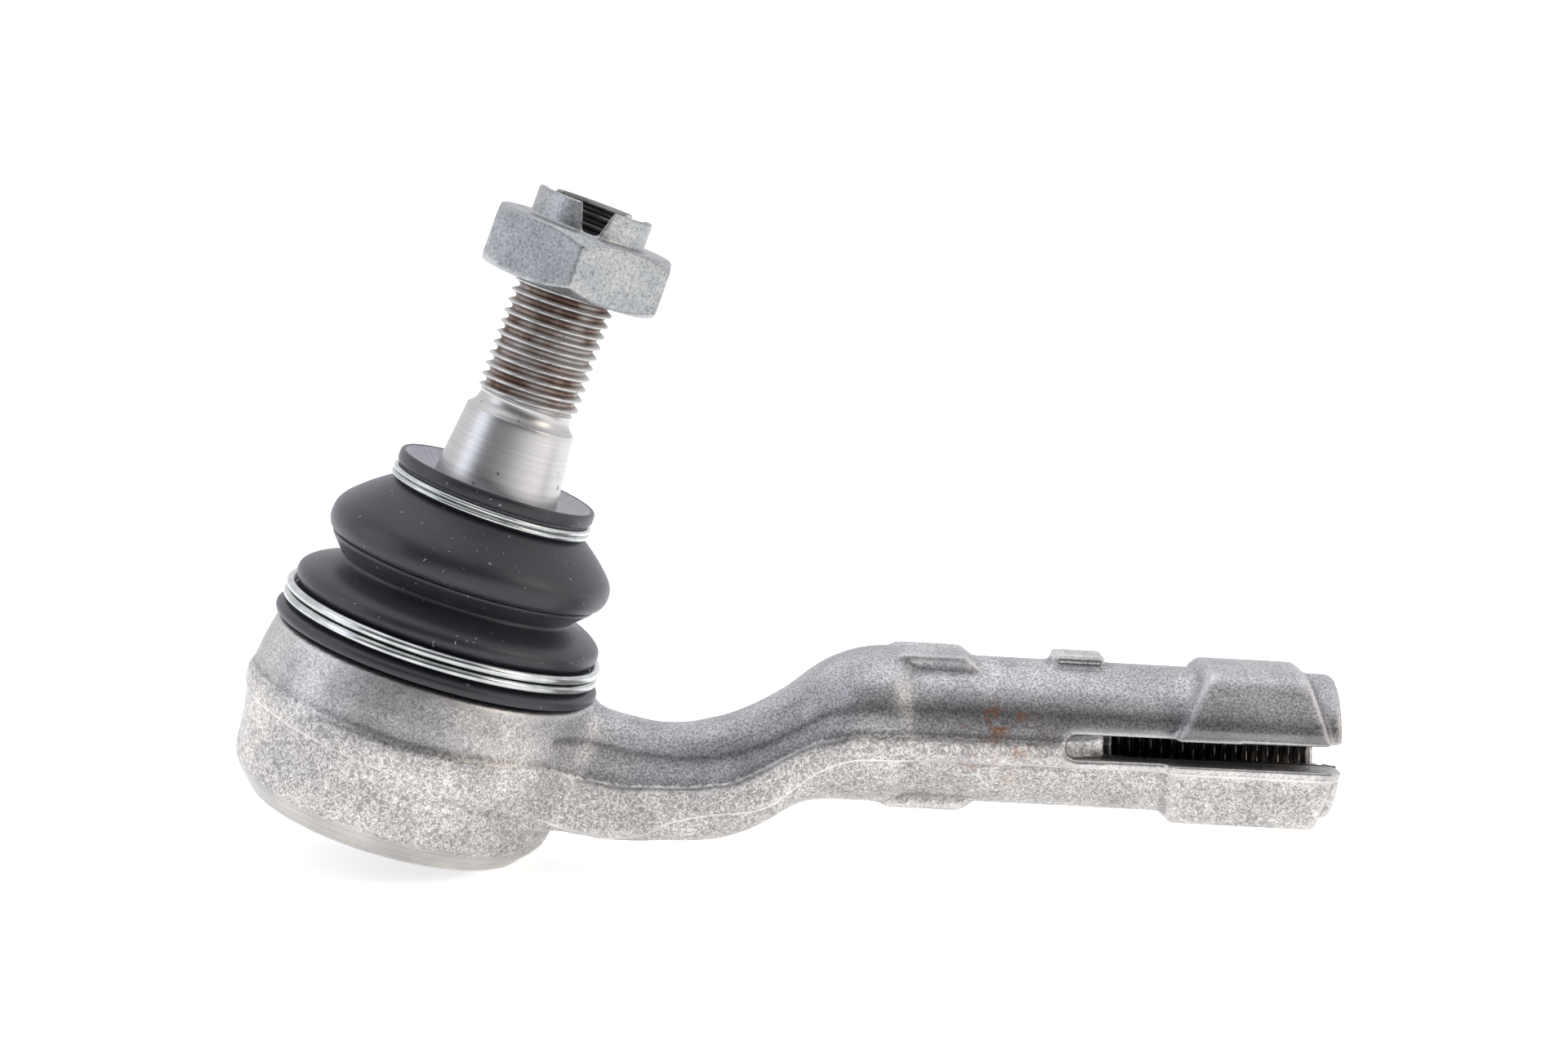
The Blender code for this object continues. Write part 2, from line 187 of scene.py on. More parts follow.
def skin(field, low, step):
    """The zero surface of a sampled field. Each cell it crosses has one point, the mean of the
    crossings on the cell's edges, and each crossed grid edge has one quad round it."""
    inside = field < 0
    cells = np.array(field.shape) - 1
    total, count, loops = np.zeros((cells.prod(), 3)), np.zeros(cells.prod()), []
    for axis in range(3):
        one, two = (axis + 1) % 3, (axis + 2) % 3
        near = [slice(None)] * 3
        far = [slice(None)] * 3
        near[axis], far[axis] = slice(0, -1), slice(1, None)
        near, far = tuple(near), tuple(far)
        spot = np.array(np.nonzero(inside[near] != inside[far])).T
        keep = (spot[:, one] > 0) & (spot[:, two] > 0)
        keep &= (spot[:, one] < cells[one]) & (spot[:, two] < cells[two])
        spot = spot[keep]
        start, end = field[near][tuple(spot.T)], field[far][tuple(spot.T)]
        point = spot.astype(float)
        point[:, axis] += start / (start - end)
        ring = []
        for back_one, back_two in ((1, 1), (0, 1), (0, 0), (1, 0)):
            cell = spot.copy()
            cell[:, one] -= back_one
            cell[:, two] -= back_two
            number = np.ravel_multi_index(tuple(cell.T), tuple(cells))
            for k in range(3):
                total[:, k] += np.bincount(number, point[:, k], cells.prod())
            count += np.bincount(number, minlength=cells.prod())
            ring.append(number)
        ring = np.array(ring).T
        flip = start > 0
        ring[flip] = ring[flip][:, ::-1]
        loops.append(ring)
    used = np.nonzero(count)[0]
    place = np.zeros(cells.prod(), int)
    place[used] = np.arange(len(used))
    points = total[used] / count[used, None]
    return np.array(low) + points * step, place[np.concatenate(loops)]


def settle(points, field, low, step, rounds=2):
    """Moves points on to the zero surface, each along the field's slope there."""
    slopes = np.stack(np.gradient(field, step), -1)
    top = np.array(field.shape) - 2
    for _ in range(rounds):
        spot = (points - low) / step
        corner = np.clip(np.floor(spot).astype(int), 0, top)
        part = spot - corner
        value, slope = 0.0, 0.0
        for i in (0, 1):
            for j in (0, 1):
                for k in (0, 1):
                    share = np.abs(1 - np.array((i, j, k)) - part).prod(1)
                    at = tuple((corner + (i, j, k)).T)
                    value = value + share * field[at]
                    slope = slope + share[:, None] * slopes[at]
        steep = np.maximum((slope**2).sum(1), 0.2)
        points = points - np.clip(value / steep, -0.3 * step, 0.3 * step)[:, None] * slope
    return points


def piece(name, points, faces, finish, body=None, crease=None):
    """A mesh from points in mm and its faces' point numbers, smooth but for edges over crease
    degrees, in one finish and colour slot, carried by a body."""
    mesh = bpy.data.meshes.new(name)
    mesh.from_pydata((points * MM).tolist(), [], faces if isinstance(faces, list) else faces.tolist())
    mesh.shade_smooth()
    if crease:
        mesh.set_sharp_from_angle(angle=radians(crease))
    mesh.materials.append(finish)
    made = bpy.data.objects.new(name, mesh)
    scene.collection.objects.link(made)
    if body:
        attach(made, body)
    return made


def metal(name, colour, roughness):
    """A bare metal: the material, its node tree and its shader."""
    made = bpy.data.materials.new(name)
    made.use_nodes = True
    shader = made.node_tree.nodes["Principled BSDF"]
    shader.inputs["Metallic"].default_value = 1.0
    shader.inputs["Base Color"].default_value = linear(colour)
    shader.inputs["Roughness"].default_value = roughness
    return made, made.node_tree, shader


def about_axis(tree, coords, axis):
    """Height in mm along an axis through the ball's centre, distance in mm from it, and the direction
    away from it, at each point of the surface."""
    centre, way = tuple(ball * MM), tuple(axis)
    offset = node(tree, "VectorMath", [("operation", "SUBTRACT"), (1, centre)], [(0, coords)])
    product = node(tree, "VectorMath", [("operation", "DOT_PRODUCT"), (1, way)], [(0, offset)])
    product = product.outputs["Value"]
    lengthways = node(tree, "VectorMath", [("operation", "SCALE"), (0, way)], [("Scale", product)])
    outward = node(tree, "VectorMath", [("operation", "SUBTRACT")], [(0, offset), (1, lengthways)])
    length = node(tree, "VectorMath", [("operation", "LENGTH")], [(0, outward)]).outputs["Value"]
    away = node(tree, "VectorMath", [("operation", "NORMALIZE")], [(0, outward)])
    to_mm = [("operation", "MULTIPLY"), (1, 1 / MM)]
    height = node(tree, "Math", to_mm, [(0, product)])
    distance = node(tree, "Math", to_mm, [(0, length)])
    return height, distance, away


def turning_marks(tree, height, distance, scale):
    """Fine lines from a lathe: noise that changes along the axis and not round it."""
    spot = node(tree, "CombineXYZ", links=[("X", height), ("Y", distance)])
    fine = [("Scale", scale), ("Detail", 4.0), ("Roughness", 0.7)]
    return node(tree, "TexNoise", fine, [("Vector", spot)])


# Settings of a mix that multiplies its second colour into its first.
DARKEN = [("blend_type", "MULTIPLY"), ("Fac", 1.0)]
RUST_PLACE = (-0.047, -0.0098, 0.0015)


def blasted_finish():
    """Shot-blasted carbon steel. Above the parting line it is plain grey, with painted shade just above the
    ledge and in the crease at the rib's foot. On the trimmed belt and below, bright ridges a tenth of a
    millimetre wide wander round warm grey craters. The trimming tool left a lip along both edges of the
    belt, painted with a bright highlight. Painted highlights pale the edges and painted shade darkens the
    inside corners. The turned rim is smooth and streaked, and rust blooms by the slot."""
    made, tree, shader = metal("shot_blasted_carbon_steel", "#a8a8aa", 0.5)
    coords = node(tree, "TexCoord").outputs["Object"]
    ledge, foot, hollow, turned, plain, bend = [
        node(tree, "Attribute", [("attribute_name", name)]).outputs["Fac"]
        for name in ("above_ledge", "above_foot", "off_hollow", "turned_rim", "on_arm", "bend")
    ]
    wander = [("Scale", 1600.0), ("Detail", 1.5), ("Roughness", 0.6), ("Distortion", 0.8)]
    worms = node(tree, "TexNoise", wander, [("Vector", coords)])
    grit = node(tree, "TexNoise", [("Scale", 3300.0), ("Detail", 2.0)], [("Vector", coords)])

    # The parting line is ragged. Above it lies the plain steel, with painted shade just above the ledge and in the
    # crease at the rib's foot.
    jitter = node(tree, "Math", [("operation", "MULTIPLY_ADD"), (1, 1.4), (2, -0.7)], [(0, worms)])
    ragged = node(tree, "Math", [("operation", "ADD")], [(0, ledge), (1, jitter)])
    above = node(tree, "MapRange", [("From Min", -0.15), ("From Max", 0.1)], [("Value", ragged)])
    above = node(tree, "Math", [("operation", "MULTIPLY")], [(0, above), (1, plain)])
    greys = [(0.36, "#9c9b9d"), (0.5, "#c1c0c1"), (0.64, "#e0dfde")]
    upper = node(tree, "ValToRGB", [("stops", greys)], [("Fac", grit)])
    # Painted shadow just above the belt's upper edge: darkest at the edge, gone 2.2 mm above it.
    ledge_shadow_stops = [(0.0, 0.5), (0.4, 0.82), (1.0, 1.0)]
    near = node(tree, "MapRange", [("From Min", 0.0), ("From Max", 2.2)], [("Value", ledge)])
    near = node(tree, "ValToRGB", [("stops", ledge_shadow_stops)], [("Fac", near)])
    upper = node(tree, "MixRGB", DARKEN, [("Color1", upper), ("Color2", near)])
    # Painted shade in the crease at the rib's foot.
    crease_shade_stops = [(0.0, 0.36), (0.45, 0.74), (1.0, 1.0)]
    crease_shade = node(tree, "ValToRGB", [("stops", crease_shade_stops)], [("Fac", hollow)])
    upper = node(tree, "MixRGB", DARKEN, [("Color1", upper), ("Color2", crease_shade)])

    # Ridges and craters below it, and painted highlights on the belt's two lips.
    off_ridge = node(tree, "Math", [("operation", "SUBTRACT"), (1, 0.5)], [(0, worms)])
    off_ridge = node(tree, "Math", [("operation", "ABSOLUTE")], [(0, off_ridge)])
    craters = [(0.0, "#f5f2ed"), (0.02, "#dad7d2"), (0.06, "#b5b2ae"), (0.15, "#9f9c99")]
    pocked = node(tree, "ValToRGB", [("stops", craters)], [("Fac", off_ridge)])
    steel = node(tree, "MixRGB", links=[("Fac", above), ("Color1", pocked), ("Color2", upper)])
    # A painted highlight: a thin bright line along each edge of the belt.
    for edge, low, high, strength in ((ragged, -0.5, 0.05, 0.55), (foot, -0.25, 0.12, 0.85)):
        peak = [(0.0, 0.0), (0.45, strength), (0.75, strength), (1.0, 0.0)]
        lip_highlight = node(tree, "MapRange", [("From Min", low), ("From Max", high)], [("Value", edge)])
        lip_highlight = node(tree, "ValToRGB", [("stops", peak)], [("Fac", lip_highlight)])
        lip_highlight = node(tree, "Math", [("operation", "MULTIPLY")], [(0, lip_highlight), (1, plain)])
        steel = node(tree, "MixRGB", [("Color2", "#f0ede8")], [("Fac", lip_highlight), ("Color1", steel)])

    # Painted highlights pale the edges, and painted shade darkens the inside corners.
    edge_highlight = [("From Min", 0.22), ("From Max", 0.7), ("To Max", 0.45)]
    corner_shade = [("From Min", -0.08), ("From Max", -0.5), ("To Max", 0.4)]
    for curve, colour in ((edge_highlight, "#e2e0dd"), (corner_shade, "#68686b")):
        much = node(tree, "MapRange", curve, [("Value", bend)])
        steel = node(tree, "MixRGB", [("Color2", colour)], [("Fac", much), ("Color1", steel)])

    # The turned rim, the broad unevenness of the blasting, and the rust.
    height, distance, _ = about_axis(tree, coords, housing_up)
    marks = turning_marks(tree, height, distance, 2.2)
    streaks = [(0.35, "#b0ada8"), (0.65, "#dcd9d4")]
    rim = node(tree, "ValToRGB", [("stops", streaks)], [("Fac", marks)])
    steel = node(tree, "MixRGB", links=[("Fac", turned), ("Color1", steel), ("Color2", rim)])
    patches = node(tree, "TexNoise", [("Scale", 150.0), ("Detail", 4.0)], [("Vector", coords)])
    uneven = [(0.35, "#e2e2e4"), (0.65, "#ffffff")]
    patches = node(tree, "ValToRGB", [("stops", uneven)], [("Fac", patches)])
    steel = node(tree, "MixRGB", DARKEN, [("Color1", steel), ("Color2", patches)])
    reach = node(tree, "VectorMath", [("operation", "DISTANCE"), (1, RUST_PLACE)], [(0, coords)])
    reach = reach.outputs["Value"]
    close = node(tree, "MapRange", [("From Min", 0.009), ("From Max", 0.002)], [("Value", reach)])
    blotches = [("Scale", 480.0), ("Detail", 5.0), ("Roughness", 0.7)]
    bloom = node(tree, "TexNoise", blotches, [("Vector", coords)])
    thick = [("From Min", 0.52), ("From Max", 0.66), ("To Max", 0.85)]
    bloom = node(tree, "MapRange", thick, [("Value", bloom)])
    rusty = node(tree, "Math", [("operation", "MULTIPLY")], [(0, close), (1, bloom)])
    steel = node(tree, "MixRGB", [("Color2", "#965f3a")], [("Fac", rusty), ("Color1", steel)])

    rough = node(tree, "MapRange", [("To Min", 0.42), ("To Max", 0.5)], [("Value", above)])
    relief = node(tree, "MixRGB", links=[("Fac", above), ("Color1", worms), ("Color2", grit)])
    bump = node(tree, "Bump", [("Strength", 0.45), ("Distance", 0.0001)], [("Height", relief)])
    feed(tree, shader, [("Base Color", steel), ("Roughness", rough), ("Normal", bump)])
    return made


# The forging is the zero surface of a field sampled every half millimetre.
STEP = 0.5
LOW = np.array([-150.6, -25.6, -23.9])
GRID = (306, 103, 84)
x = (LOW[0] + STEP * np.arange(GRID[0]))[:, None, None]
y = (LOW[1] + STEP * np.arange(GRID[1]))[None, :, None]
z = (LOW[2] + STEP * np.arange(GRID[2]))[None, None, :]
side = np.abs(y)


def along(stations, smoothing=2.0):
    """A value along X: straight between its stations, then averaged over a few mm."""
    places, values = np.array(stations, float).T
    fine = np.interp(x.ravel(), places, values)
    reach = int(smoothing / STEP)
    window = np.hanning(2 * reach + 3)[1:-1]
    padded = np.pad(fine, reach, mode="edge")
    return np.convolve(padded, window / window.sum(), mode="valid")[:, None, None]


# Height of the arm's top and underside, and of the flat belt that the trimming tool left round the
# parting line: its upper and lower edge.
arm_top = along(
    [(-112, 1.9), (-101.8, 0.5), (-96.9, -0.8), (-92, -1.75), (-88, -1.6), (-82.7, -0.2), (-78.5, 1.8)]
    + [(-74.4, 4.4), (-71.7, 6.8), (-68.9, 8.6), (-66.2, 9.6), (-62, 10.0), (2, 10.0)]
)
arm_under = along(
    [(-112, -15.8), (-103.2, -15.95), (-98.9, -16.7), (-94.6, -17.1), (-90.2, -17.4), (-86, -17.3)]
    + [(-82.5, -16.7), (-78.9, -15.2), (-76.2, -13.4), (-73.4, -11.4), (-70.6, -10.3), (-67.7, -9.9)]
    + [(-64, -10.0), (2, -10.0)]
)
belt_top = along(
    [(-151, 5.8), (-124.5, -1.0), (-113, -3.7), (-108.5, -4.4), (-105.5, -6.1), (-103, -7.3), (-96.7, -8.5)]
    + [(-88, -8.3), (-81.9, -7.4), (-78.5, -5.5), (-75.1, -3.3), (-70.9, -0.8), (-65.5, 0.8)]
    + [(-63, 0.75), (2, 1.0)],
    1.5,
)
belt_foot = along(
    [(-151, 2.9), (-144, 0.0), (-138, -2.0), (-132.5, -3.2), (-127, -5.2), (-118.3, -8.3), (-112.4, -11.3)]
    + [(-106.6, -13.4), (-103, -14.9), (-98, -15.8), (-93.5, -15.3), (-89.9, -13.2), (-85.1, -12.0)]
    + [(-79.5, -11.3), (-76.4, -10.2), (-73.9, -7.9), (-70.6, -5.0), (-67.2, -3.3), (-64.6, -2.8)]
    + [(-34, -2.45), (2, -2.4)],
    1.5,
)
# Half widths of the rib on the arm's top and of the belt, and the height where the rib starts.
rib_width = along(
    [(-112, 8.6), (-106, 7.0), (-101, 6.2), (-90, 5.9), (-80, 6.1), (-74, 7.0)]
    + [(-70, 8.2), (-65, 9.6), (2, 10)]
)
rib_foot = along(
    [(-112, -0.9), (-106.4, -1.9), (-101.5, -3.3), (-95.7, -4.6), (-88, -5.1), (-82.9, -4.4), (-77.7, -2.5)]
    + [(-73, 0.45), (-69.2, 3.0), (-65, 4.2), (2, 4.4)]
)
belt_width = along(
    [(-112, 13.5), (-107, 11.0), (-102, 9.6), (-96, 8.9), (-88, 8.7), (-80, 8.9), (-74, 9.4)]
    + [(-68, 9.95), (2, 10)]
)

BARREL_RADIUS = 10.0

# Neck: a full round belly below the belt, the belt's upright wall, a shoulder sloping in from its
# upper edge, and a narrower rounded rib on top.
belly = np.maximum(belt_foot - z, 0.0) / (belt_foot - arm_under)
power = 2.2
body = (((side / belt_width) ** power + belly**power) ** (1 / power) - 1.0) * belt_width
rise, run = rib_foot - belt_top, belt_width - rib_width
shoulder = ((side - belt_width) * rise + (z - belt_top) * run) / np.hypot(rise, run)
neck = common(common(body, shoulder, 0.5), z - rib_foot, 1.0)
middle = (arm_top + belt_foot) / 2
rib = ((side / rib_width) ** 2.6 + np.abs((z - middle) / (arm_top - middle)) ** 2.6) ** (1 / 2.6) - 1.0
neck = join(neck, rib * rib_width, 1.6)

barrel = np.hypot(side, z) - BARREL_RADIUS
# The barrel starts at a plane through its top 64 mm in, which leans 8 mm in 20.
barrel_start = ((x + 64.0) * -20.0 + (z - BARREL_RADIUS) * 8.0) / np.hypot(20.0, 8.0)
barrel = common(barrel, barrel_start, 3.0)
neck = common(common(neck, x + 60.0, 2.0), -117.0 - x, 1.0)
forging = join(neck, barrel, 3.0)

# Ball housing, drafted both ways from the belt: height along its axis and distance from it, and its
# wall as (height, radius).
tall = (x - ball[0]) * housing_up[0] + (z - ball[2]) * housing_up[2]
across = (x - ball[0]) * housing_up[2] - (z - ball[2]) * housing_up[0]
wide = np.hypot(across, y)
WALL = [(-17.7, 18.3), (-17.1, 19.1), (-16.2, 19.8), (-14.8, 21.1), (-13.6, 21.9), (-12, 22.25), (-8, 22.45)]
WALL += [(-5.5, 22.9), (-3, 23.15), (-1.0, 23.15), (2, 22.75), (4.7, 22.2), (6.3, 21.8)]
heights, radii = np.array(WALL).T
shell = (wide - np.interp(tall, heights, radii)) * 0.95
shell = common(common(shell, tall - 6.3, 0.6), -17.7 - tall, 0.8)
forging = join(forging, shell, 3.2)

# The belt stands a little proud: a flat upright wall on the arm, a raised band round the housing.
belt_half, belt_middle = (belt_top - belt_foot) / 2, (belt_top + belt_foot) / 2
off_belt = np.abs(z - belt_middle) - belt_half
on_housing = np.clip((-103.0 - x) / 6.0, 0.0, 1.0)
proud = np.clip(-off_belt / 0.5, 0.0, 1.0) * (0.3 + 0.11 * on_housing)
forging = forging - proud
belt_wall = common(side - belt_width - 0.35, off_belt, 0.25)
belt_wall = common(common(belt_wall, -105.0 - x, 0.3), x + 0.8, 0.3)
forging = join(forging, belt_wall, 0.3)

# Wrench hexagon, its top and bottom flats a little crowned and its ends sloped back from the
# parting plane, and the raised pads.
HALF_FLATS, CROWNING = 11.0, 0.012
flats = np.abs(z) - HALF_FLATS + 0.02 + CROWNING * y**2
hexagon = common(flats, side * sqrt(0.75) + np.abs(z) * 0.5 - HALF_FLATS, 1.3)
HEXAGON_START, HEXAGON_END = -23.8, -0.9
start_slope = np.where(z > 0, 0.53, 0.154) * np.abs(z)
end_slope = np.where(z > 0, 0.34, 0.115) * np.abs(z)
hexagon = common(hexagon, (HEXAGON_START + start_slope - x) * 0.9, 0.8)
hexagon = common(hexagon, (x - HEXAGON_END + end_slope) * 0.95, 0.35)
forging = join(forging, hexagon, 1.0)


def pad(low_x, high_x, height, half_width, slope, lowest):
    """A flat-topped block between two sloping ends."""
    ends = np.abs(x - (low_x + high_x) / 2) - (high_x - low_x) / 2 + (np.abs(z) - lowest) * slope
    block = common(ends / sqrt(1 + slope**2), side - half_width, 0.5)
    return common(block, np.abs(z) - height, 0.5)


top_pad = np.maximum(pad(-62.0, -49.2, 10.75, 5.0, 1.3, 9.3), -z)
under_pad = np.maximum(pad(-62.5, -48.8, 10.65, 5.0, 1.3, 9.3), z)
small_pad = np.maximum(pad(-39.0, -31.7, 11.35, 2.6, 0.2, 10.0), -z)
forging = join(forging, np.minimum(top_pad, under_pad), 0.5)
forging = join(forging, small_pad, 0.4)
forging = common(forging, x + 0.02, 0.35)

# Turned into the housing from above and below: the flared mouth that the stud tilts in, the bearing
# shell's room, the plate's recess and the opening under the rolled rim. A collar stands up inside
# the boot's bead.
MOUTH, SHELL_ROOM, PLATE_RECESS, RIM_OPENING = 13.4, 16.2, 17.5, 15.6
seat = np.maximum(wide - np.interp(tall, [6.8, 8.6, 12.0], [MOUTH, MOUTH, 15.3]), 6.5 - tall)
seat = np.minimum(seat, np.maximum(wide - SHELL_ROOM, np.maximum(tall - 6.8, -15.0 - tall)))
seat = np.minimum(seat, np.maximum(wide - PLATE_RECESS, np.maximum(tall + 14.4, -16.75 - tall)))
seat = np.minimum(seat, np.maximum(wide - RIM_OPENING, tall + 15.0))
forging = np.maximum(forging, -seat)
collar = np.maximum(np.maximum(wide - 18.2, tall - 12.0), 5.9 - tall)
forging = np.minimum(forging, np.maximum(collar, -seat))

# Bored from the barrel's mouth: the thread's clearance, the drilled hole with its cone, a chamfer.
TAPPED_RADIUS, TAPPED_DEPTH, DRILLED_RADIUS, DRILLED_DEPTH, DRILL_TIP = 7.1, 28.6, 6.15, 45.0, 49.0
round_bore = np.hypot(y, z)
drill_cone = np.maximum(-DRILLED_DEPTH - x, 0.0) * 1.7
bore = np.maximum(round_bore - TAPPED_RADIUS, -TAPPED_DEPTH - x)
bore = np.minimum(bore, np.maximum(round_bore - DRILLED_RADIUS + drill_cone, -DRILL_TIP - x))
bore = np.minimum(bore, round_bore - 6.9 - (x + 0.6))
forging = np.maximum(forging, -bore)


def slot_middle(x):
    """Height of the slot's middle: 0.6 mm at the mouth, falling to 0.2 mm from 37 mm in."""
    return 0.2 + 0.4 * np.clip((x + 37.0) / 37.0, 0.0, 1.0)


# The slot goes through the wall up to 31.8 mm in. Beyond, the saw left a round-ended pocket that gets
# shallower.
END_CENTRE, THROUGH_END, SLOT_HALF = -35.95, -31.8, 1.65
slot = np.hypot(np.maximum(END_CENTRE - x, 0.0), z - slot_middle(x)) - SLOT_HALF
pocket_floor = -7.6 - 1.9 * (np.clip(THROUGH_END - x, 0.0, 6.0) / 5.6) ** 1.5
slot = np.maximum(slot, y - np.where(x < THROUGH_END, pocket_floor, -1.0))
forging = common(forging, -slot, 0.15)

points, quads = skin(forging, LOW, STEP)
points = settle(points, forging, LOW, STEP)
forged_arm = piece("forged_arm", points, quads, blasted_finish(), "housing")
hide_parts("housing")

# What the finish reads at each point of the forging.
height = (points - ball) @ housing_up
share = np.clip((-106.0 - points[:, 0]) / 4.0, 0.0, 1.0)


def above(line, on_housing):
    """Height in mm above a line drawn along the arm, passing over to a level ring on the housing."""
    on_arm = points[:, 2] - np.interp(points[:, 0], x.ravel(), line.ravel())
    return on_arm * (1 - share) + (height - on_housing) * share


# How far each point is from the crease at the rib's foot, in half depths: the finish paints shade near it.
half_depth = np.interp(points[:, 0], [-110, -106, -72, -60], [0.2, 1.0, 1.3, 3.4])
off_hollow = np.where(share > 0, 1.0, np.abs(above(rib_foot, 9.0)) / half_depth)
# Curvature in 1/mm is the divergence of the field's unit slope: over 0.3 on edges, below 0 in hollows.
slopes = np.gradient(forging, STEP)
length = np.maximum(np.sqrt(sum(slope**2 for slope in slopes)), 1e-6)
bend = sum(np.gradient(slope / length, STEP, axis=k) for k, slope in enumerate(slopes))
for k in range(3):
    bend = (np.roll(bend, 1, k) + bend + np.roll(bend, -1, k)) / 3
bend = bend[tuple(np.round((points - LOW) / STEP).astype(int).T)]
shades = {
    "bend": bend,
    "on_arm": 1.0 - share * np.interp(points[:, 0], [-148, -124, -110], [0.35, 0.55, 0.75]),
    "above_ledge": above(belt_top, -1.0),
    "above_foot": above(belt_foot, np.interp(points[:, 0], [-148, -124, -106], [-3.8, -5.5, -7.9])),
    "off_hollow": off_hollow,
    "turned_rim": np.clip((-14.2 - height) / 0.3, 0.0, 1.0) * (share > 0),
}
for name, values in shades.items():
    shade = forged_arm.data.attributes.new(name, "FLOAT", "POINT")
    shade.data.foreach_set("value", values.astype(np.float32))

# ---------------------------------------------------------------- thread in the barrel
# M14 x 1.5, tapped 29 mm deep in the bore. It is cut through by the slot on one side, so it is a
# C-shaped sleeve of thread with the slot's two flat walls as its ends.
PITCH, MAJOR, MINOR = 1.5, 7.0, 6.15


def thread_radius(turns, major, minor):
    """Radius of a 60 degree thread at a number of turns along it: flat crests an eighth of the pitch
    wide, flat roots a quarter wide, and between them flanks that ease in and out a little."""
    from_crest = np.abs(turns - np.floor(turns) - 0.5)
    down = np.clip((from_crest - 0.0625) / 0.3125, 0.0, 1.0)
    return major - (major - minor) * (0.6 * down + 0.4 * down * down * (3.0 - 2.0 * down))


def bore_finish():
    """Tapped steel, shiny but dark with an uneven film of cutting oil."""
    made, tree, shader = metal("tapped_steel", "#8b8985", 0.3)
    coords = node(tree, "TexCoord").outputs["Object"]
    film = node(tree, "TexNoise", [("Scale", 500.0), ("Detail", 3.0)], [("Vector", coords)])
    oil = node(tree, "ValToRGB", [("stops", [(0.35, "#484644"), (0.65, "#75726f")])], [("Fac", film)])
    feed(tree, shader, [("Base Color", oil)])
    return made


along_bore = np.linspace(-TAPPED_DEPTH, -0.12, 312)[:, None]
part_round = np.linspace(0.0, 1.0, 145)[None, :]
CLEAR_HALF, FLANK_RADIUS, SLEEVE_RADIUS = SLOT_HALF - 0.02, 6.6, 7.3


def sweep(radius):
    """Angles round a C-shaped sleeve, from -Y at the slot's upper wall over the top, round behind, to
    its lower wall: from asin((c + w) / r) to a full turn more than asin((c - w) / r), for a slot with
    its middle at c and half width w."""
    first = np.arcsin((slot_middle(along_bore) + CLEAR_HALF) / radius)
    last = tau + np.arcsin((slot_middle(along_bore) - CLEAR_HALF) / radius)
    return first + (last - first) * part_round


def sleeve(radius):
    """Points of the sleeve: along the bore, -r cos a sideways and r sin a up."""
    angle = sweep(radius)
    radius = radius + 0.0 * angle
    return np.stack([along_bore + 0.0 * angle, -radius * np.cos(angle), radius * np.sin(angle)], -1)


cut = thread_radius(along_bore / PITCH + sweep(FLANK_RADIUS) / tau, MAJOR, MINOR)
cut = np.maximum(cut, 6.95 + along_bore + 0.7)
inner = sleeve(cut)
outer = sleeve(np.full_like(cut, SLEEVE_RADIUS) + 0.25 * np.clip(along_bore + 0.5, 0.0, 1.0))
loops = np.concatenate([inner, outer[:, ::-1]], 1)
rows, columns = loops.shape[:2]
number = np.arange(rows * columns).reshape(rows, columns)
turned_on = np.roll(number, -1, 1)
walls = np.stack([number[:-1], turned_on[:-1], turned_on[1:], number[1:]], -1).reshape(-1, 4)
half = columns // 2
faces = [walls]
for row, order in ((number[0], 1), (number[-1], -1)):
    inside_edge, outside_edge = row[:half], row[half:][::-1]
    end = [inside_edge[:-1], outside_edge[:-1], outside_edge[1:], inside_edge[1:]]
    faces.append(np.stack(end, -1)[:, ::order])
faces = np.concatenate(faces)
piece("barrel_thread", loops.reshape(-1, 3), faces, bore_finish(), "housing", 40)

# ---------------------------------------------------------------- ball stud
# Alloy steel, turned in one piece: the ball, its neck, the taper that seats in the steering arm, a
# narrow undercut and an M14 x 1.5 rolled thread.
def around(radius, height, axis, columns, closed=False):
    """Point (i, j) is the ball's centre + r cos a_j across + r sin a_j sideways + h along the axis.
    Radius and height are columns, or whole grids. Rows on the axis become one point."""
    radius, height = np.broadcast_arrays(radius, height)
    angle = (tau * np.arange(columns) / columns)[None, :]
    radius, height = radius + 0.0 * angle, height + 0.0 * angle
    across = np.array([axis[2], 0.0, -axis[0]])
    points = ball + (radius * np.cos(angle))[..., None] * across + height[..., None] * axis
    points[..., 1] += radius * np.sin(angle)
    rows = len(points)
    number = np.arange(rows * columns).reshape(rows, columns)
    on_axis = np.abs(radius).max(1) < 1e-6
    number[on_axis] = number[on_axis, :1]
    upper, lower = (number, np.roll(number, -1, 0)) if closed else (number[:-1], number[1:])
    faces = np.stack([upper, lower, np.roll(lower, -1, 1), np.roll(upper, -1, 1)], -1).reshape(-1, 4)
    top, foot = faces[:, 0] == faces[:, 3], faces[:, 1] == faces[:, 2]
    used, place = np.unique(faces, return_inverse=True)
    faces = place.reshape(-1, 4)
    lists = faces[~top & ~foot].tolist() + faces[top][:, :3].tolist() + faces[foot][:, [0, 1, 3]].tolist()
    return points.reshape(-1, 3)[used], lists


def rounded(corners, radius, closed=False, steps=5):
    """A polyline with its corners rounded: each becomes a parabola from a point before it to one
    after it, at most 0.45 of the way to its neighbours."""
    corners = np.array(corners, float)
    before, after = np.roll(corners, 1, 0), np.roll(corners, -1, 0)
    t = np.linspace(0.0, 1.0, steps)[None, :, None]
    into, out = before - corners, after - corners
    ends = []
    for way in (into, out):
        length = np.hypot(*way.T)[:, None]
        ends.append(corners + way * (np.minimum(radius, 0.45 * length) / np.maximum(length, 1e-9)))
    start, end = ends
    curve = (1 - t) ** 2 * start[:, None] + 2 * (1 - t) * t * corners[:, None] + t**2 * end[:, None]
    if closed:
        return curve.reshape(-1, 2)
    return np.concatenate([corners[:1], curve[1:-1].reshape(-1, 2), corners[-1:]])


